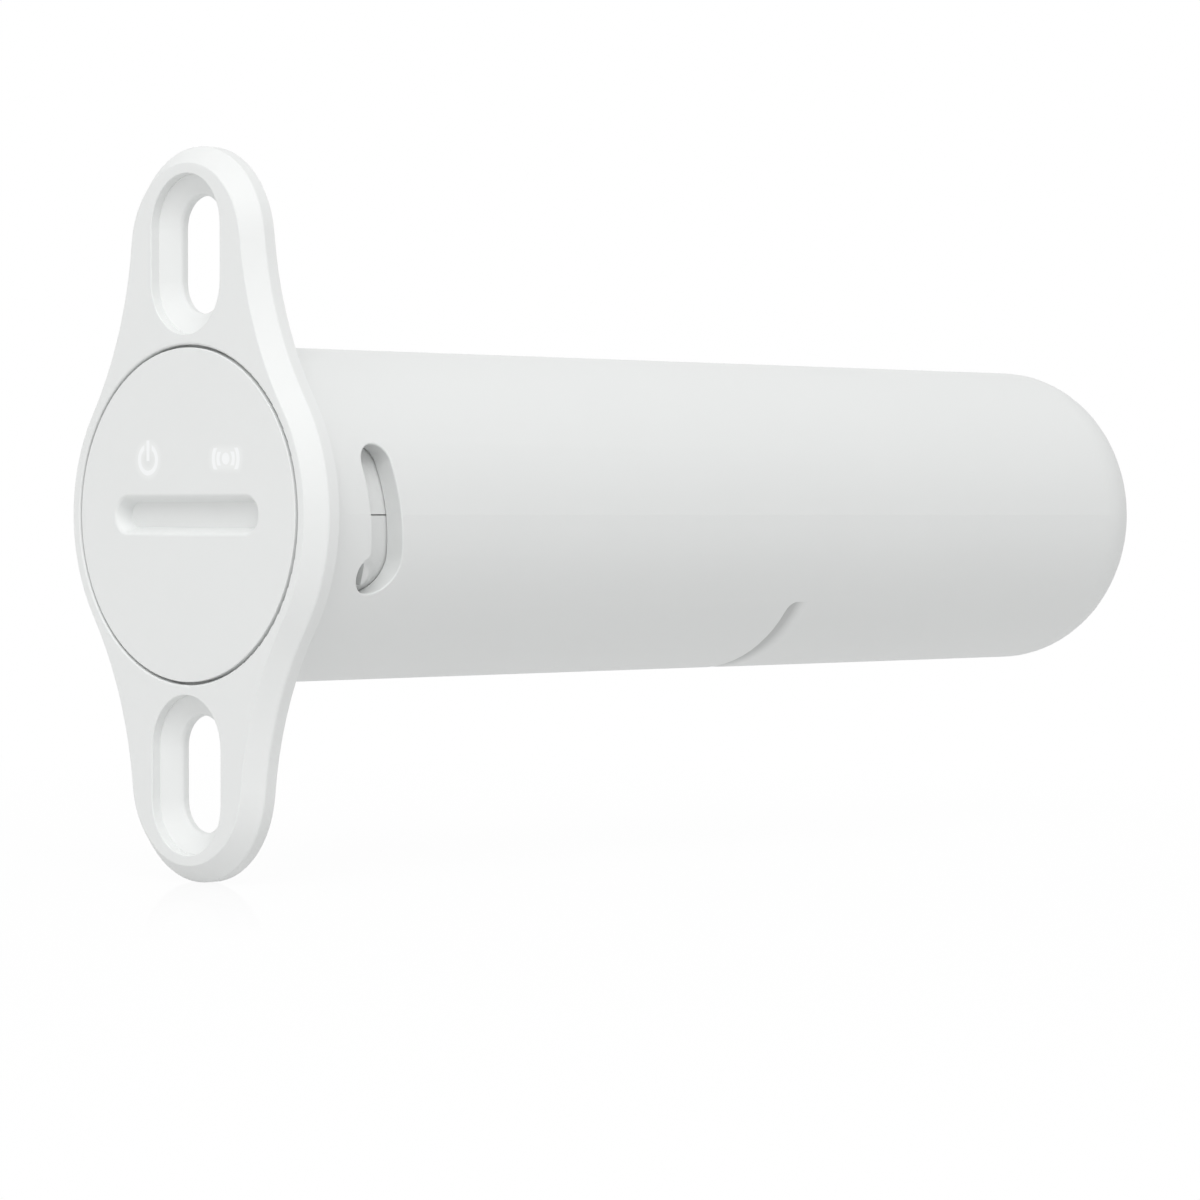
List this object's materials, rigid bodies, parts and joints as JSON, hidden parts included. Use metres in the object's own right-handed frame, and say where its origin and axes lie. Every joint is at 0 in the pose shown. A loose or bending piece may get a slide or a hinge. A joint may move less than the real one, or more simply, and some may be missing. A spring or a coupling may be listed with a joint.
{
  "type": "recessed entry sensor",
  "caption": "Entry sensor for a drilled door frame: flush face with a coin slot and lit symbols, slotted screw flange, and a long round-ended tube that holds the sensor cartridge.",
  "frame": {"origin": "on the tube's axis, in the plane of the flange's back face, which rests on the door frame", "axes": "+Y along the tube into the door frame, +Z along the two screw ears, +X to the side of the window shown; the face looks along -Y"},
  "size_m": [0.0278, 0.0952, 0.0518],
  "materials": {
    "sleeve_plastic": "fine satin white",
    "face_plastic": "fine satin white",
    "symbol_plastic": "translucent white, lit from behind",
    "baffle_foam": "closed-cell black foam",
    "seal_rubber": "matt black rubber",
    "shell_plastic": "satin white",
    "screw_steel": "zinc-plated",
    "board_laminate": "green solder mask",
    "led_body": "pale resin",
    "chip_resin": "moulded black resin",
    "shield_tin": "tinned sheet",
    "antenna_ceramic": "white ceramic",
    "capacitor_ceramic": "tan ceramic",
    "reed_glass": "clear green glass",
    "contact_nickel": "nickel-plated",
    "switch_base": "moulded black",
    "switch_plunger": "moulded grey",
    "button_plastic": "satin grey",
    "cell_can": "satin bare metal",
    "cell_wrap": "plain dark shrink sleeve",
    "pad_silicone": "soft translucent silicone"
  },
  "bodies": {
    "sleeve": {"mounting_sleeve": "sleeve_plastic"},
    "seal": {"face_seal": "seal_rubber"},
    "cartridge": {"face_cap": "face_plastic", "power_light_pipe": "symbol_plastic", "radio_light_pipe": "symbol_plastic", "light_baffle": "baffle_foam", "upper_shell": "shell_plastic", "lower_shell": "shell_plastic", "battery_cover": "shell_plastic", "shell_screws": "screw_steel", "main_board": "board_laminate", "power_led": "led_body", "radio_led": "led_body", "controller_chip": "chip_resin", "radio_chip": "chip_resin", "radio_shield": "shield_tin", "chip_antenna": "antenna_ceramic", "supply_capacitors": "capacitor_ceramic", "reed_switch": "reed_glass", "reed_leads": "contact_nickel", "reset_switch": "switch_base", "battery_cell": "cell_can", "battery_wrap": "cell_wrap", "positive_contact": "contact_nickel", "negative_strap": "contact_nickel", "negative_spring": "contact_nickel", "end_pad": "pad_silicone"},
    "reset": {"reset_actuator": "switch_plunger", "reset_button": "button_plastic"}
  },
  "joints": [
    {"name": "cartridge_draw", "type": "slide", "parent": "sleeve", "child": "seal", "axis": [0, -1, 0], "range_m": [0, 0.0008]},
    {"name": "cartridge_turn", "type": "hinge", "parent": "seal", "child": "cartridge", "pos_m": [0, 0, 0], "axis": [0, -1, 0], "range_deg": [0, 40]},
    {"name": "reset_press", "type": "slide", "parent": "cartridge", "child": "reset", "axis": [0, 0, -1], "range_m": [0, 0.00025], "stiffness_N_per_m": 3000, "springref_m": -0.0001}
  ],
  "couplings": [
    {"joint": "cartridge_turn", "follows": "cartridge_draw", "rad_per_m": 872.66}
  ]
}
